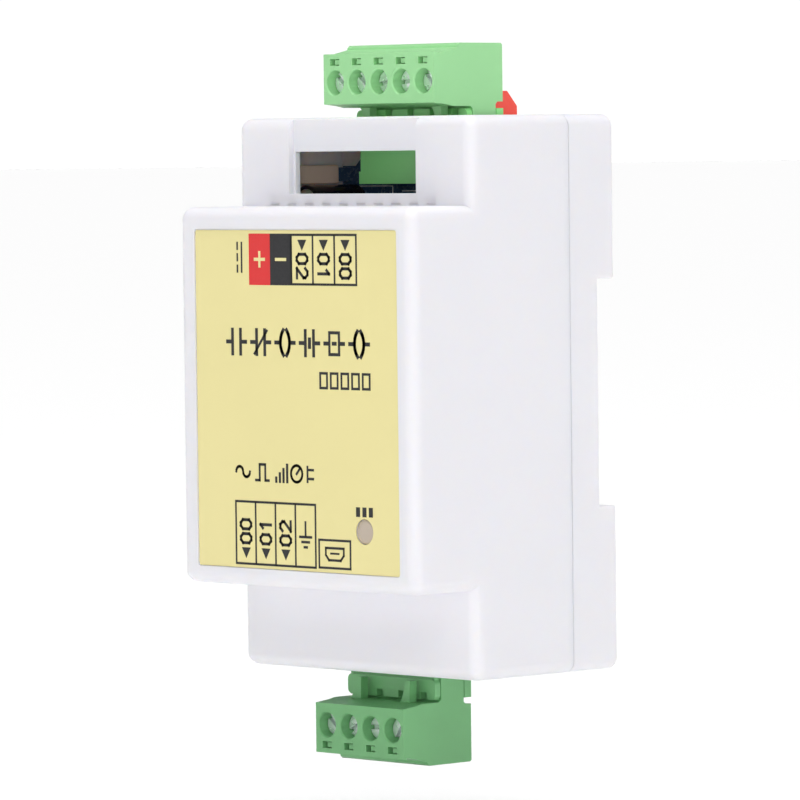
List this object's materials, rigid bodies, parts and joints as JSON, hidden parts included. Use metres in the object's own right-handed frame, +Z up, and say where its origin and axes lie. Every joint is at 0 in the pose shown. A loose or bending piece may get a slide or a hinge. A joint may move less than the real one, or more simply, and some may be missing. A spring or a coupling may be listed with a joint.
{
  "type": "plc module",
  "caption": "Small DIN rail programmable controller module with pluggable screw terminal blocks above and below, a sliding rail latch and a stepped front.",
  "frame": {"origin": "centre of the rail seat, the floor of the slot at the back that the DIN rail rests on", "axes": "+X to the right along the rail, -Y out of the front, +Z up"},
  "size_m": [0.054, 0.0445, 0.115],
  "materials": {
    "case_white": "fine moulded texture, satin",
    "latch_red": "satin moulded",
    "label_yellow": "satin printed film",
    "light_pipe": "frosted acrylic",
    "board_navy": "solder mask over glass fibre",
    "zinc_steel": "zinc plated",
    "chip_black": "moulded epoxy with tinned legs",
    "can_metal": "drawn can",
    "sleeve_black": "shrunk sleeve",
    "cap_beige": "dipped resin box",
    "ferrite_grey": "ferrite",
    "ceramic_tan": "ceramic with tinned ends",
    "led_cream": "clear resin over phosphor",
    "plug_green": "satin moulded",
    "header_green": "satin moulded",
    "contact_tin": "tin plated brass"
  },
  "bodies": {
    "case": {"front_cover": "case_white", "rear_base": "case_white", "label_overlay": "label_yellow", "light_pipe": "light_pipe", "main_board": "board_navy", "board_screws": "zinc_steel", "microcontroller": "chip_black", "optocouplers": "chip_black", "output_transistors": "chip_black", "voltage_regulator": "chip_black", "crystal": "can_metal", "electrolytic_capacitor": "sleeve_black", "film_capacitor": "cap_beige", "inductor": "ferrite_grey", "chip_passives": "ceramic_tan", "error_led": "led_cream", "usb_shell": "zinc_steel", "usb_tongue": "chip_black", "top_header_shell": "header_green", "top_header_pins": "contact_tin", "bottom_header_shell": "header_green", "bottom_header_pins": "contact_tin"},
    "latch": {"din_latch": "latch_red"},
    "top_plug": {"top_plug_body": "plug_green", "top_plug_contacts": "contact_tin"},
    "bottom_plug": {"bottom_plug_body": "plug_green", "bottom_plug_contacts": "contact_tin"},
    "top_screw_1": {"top_screw_1": "zinc_steel"},
    "top_clamp_1": {"top_clamp_1": "zinc_steel"},
    "top_screw_2": {"top_screw_2": "zinc_steel"},
    "top_clamp_2": {"top_clamp_2": "zinc_steel"},
    "top_screw_3": {"top_screw_3": "zinc_steel"},
    "top_clamp_3": {"top_clamp_3": "zinc_steel"},
    "top_screw_4": {"top_screw_4": "zinc_steel"},
    "top_clamp_4": {"top_clamp_4": "zinc_steel"},
    "top_screw_5": {"top_screw_5": "zinc_steel"},
    "top_clamp_5": {"top_clamp_5": "zinc_steel"},
    "bottom_screw_1": {"bottom_screw_1": "zinc_steel"},
    "bottom_clamp_1": {"bottom_clamp_1": "zinc_steel"},
    "bottom_screw_2": {"bottom_screw_2": "zinc_steel"},
    "bottom_clamp_2": {"bottom_clamp_2": "zinc_steel"},
    "bottom_screw_3": {"bottom_screw_3": "zinc_steel"},
    "bottom_clamp_3": {"bottom_clamp_3": "zinc_steel"},
    "bottom_screw_4": {"bottom_screw_4": "zinc_steel"},
    "bottom_clamp_4": {"bottom_clamp_4": "zinc_steel"}
  },
  "joints": [
    {"name": "latch_slide", "type": "slide", "parent": "case", "child": "latch", "axis": [0, 0, 1], "range_m": [0, 0.0032], "stiffness_N_per_m": 600, "springref_m": -0.001},
    {"name": "top_plug_pull", "type": "slide", "parent": "case", "child": "top_plug", "axis": [0, 0, 1], "range_m": [0, 0.012]},
    {"name": "bottom_plug_pull", "type": "slide", "parent": "case", "child": "bottom_plug", "axis": [0, 0, -1], "range_m": [0, 0.012]},
    {"name": "top_screw_1_turn", "type": "hinge", "parent": "top_plug", "child": "top_screw_1", "pos_m": [-0.01001, -0.0198, 0.04955], "axis": [0, 1, 0], "range_deg": [0, 1441]},
    {"name": "top_clamp_1_rise", "type": "slide", "parent": "top_plug", "child": "top_clamp_1", "axis": [0, -1, 0], "range_m": [0, 0.002]},
    {"name": "top_screw_2_turn", "type": "hinge", "parent": "top_plug", "child": "top_screw_2", "pos_m": [-0.00493, -0.0198, 0.04955], "axis": [0, 1, 0], "range_deg": [0, 1441]},
    {"name": "top_clamp_2_rise", "type": "slide", "parent": "top_plug", "child": "top_clamp_2", "axis": [0, -1, 0], "range_m": [0, 0.002]},
    {"name": "top_screw_3_turn", "type": "hinge", "parent": "top_plug", "child": "top_screw_3", "pos_m": [0.00015, -0.0198, 0.04955], "axis": [0, 1, 0], "range_deg": [0, 1441]},
    {"name": "top_clamp_3_rise", "type": "slide", "parent": "top_plug", "child": "top_clamp_3", "axis": [0, -1, 0], "range_m": [0, 0.002]},
    {"name": "top_screw_4_turn", "type": "hinge", "parent": "top_plug", "child": "top_screw_4", "pos_m": [0.00523, -0.0198, 0.04955], "axis": [0, 1, 0], "range_deg": [0, 1441]},
    {"name": "top_clamp_4_rise", "type": "slide", "parent": "top_plug", "child": "top_clamp_4", "axis": [0, -1, 0], "range_m": [0, 0.002]},
    {"name": "top_screw_5_turn", "type": "hinge", "parent": "top_plug", "child": "top_screw_5", "pos_m": [0.01031, -0.0198, 0.04955], "axis": [0, 1, 0], "range_deg": [0, 1441]},
    {"name": "top_clamp_5_rise", "type": "slide", "parent": "top_plug", "child": "top_clamp_5", "axis": [0, -1, 0], "range_m": [0, 0.002]},
    {"name": "bottom_screw_1_turn", "type": "hinge", "parent": "bottom_plug", "child": "bottom_screw_1", "pos_m": [-0.01372, -0.0198, -0.0535], "axis": [0, 1, 0], "range_deg": [0, 1441]},
    {"name": "bottom_clamp_1_rise", "type": "slide", "parent": "bottom_plug", "child": "bottom_clamp_1", "axis": [0, -1, 0], "range_m": [0, 0.002]},
    {"name": "bottom_screw_2_turn", "type": "hinge", "parent": "bottom_plug", "child": "bottom_screw_2", "pos_m": [-0.00864, -0.0198, -0.0535], "axis": [0, 1, 0], "range_deg": [0, 1441]},
    {"name": "bottom_clamp_2_rise", "type": "slide", "parent": "bottom_plug", "child": "bottom_clamp_2", "axis": [0, -1, 0], "range_m": [0, 0.002]},
    {"name": "bottom_screw_3_turn", "type": "hinge", "parent": "bottom_plug", "child": "bottom_screw_3", "pos_m": [-0.00356, -0.0198, -0.0535], "axis": [0, 1, 0], "range_deg": [0, 1441]},
    {"name": "bottom_clamp_3_rise", "type": "slide", "parent": "bottom_plug", "child": "bottom_clamp_3", "axis": [0, -1, 0], "range_m": [0, 0.002]},
    {"name": "bottom_screw_4_turn", "type": "hinge", "parent": "bottom_plug", "child": "bottom_screw_4", "pos_m": [0.00152, -0.0198, -0.0535], "axis": [0, 1, 0], "range_deg": [0, 1441]},
    {"name": "bottom_clamp_4_rise", "type": "slide", "parent": "bottom_plug", "child": "bottom_clamp_4", "axis": [0, -1, 0], "range_m": [0, 0.002]}
  ],
  "couplings": [
    {"joint": "top_screw_1_turn", "follows": "top_clamp_1_rise", "rad_per_m": 12566},
    {"joint": "top_screw_2_turn", "follows": "top_clamp_2_rise", "rad_per_m": 12566},
    {"joint": "top_screw_3_turn", "follows": "top_clamp_3_rise", "rad_per_m": 12566},
    {"joint": "top_screw_4_turn", "follows": "top_clamp_4_rise", "rad_per_m": 12566},
    {"joint": "top_screw_5_turn", "follows": "top_clamp_5_rise", "rad_per_m": 12566},
    {"joint": "bottom_screw_1_turn", "follows": "bottom_clamp_1_rise", "rad_per_m": 12566},
    {"joint": "bottom_screw_2_turn", "follows": "bottom_clamp_2_rise", "rad_per_m": 12566},
    {"joint": "bottom_screw_3_turn", "follows": "bottom_clamp_3_rise", "rad_per_m": 12566},
    {"joint": "bottom_screw_4_turn", "follows": "bottom_clamp_4_rise", "rad_per_m": 12566}
  ]
}
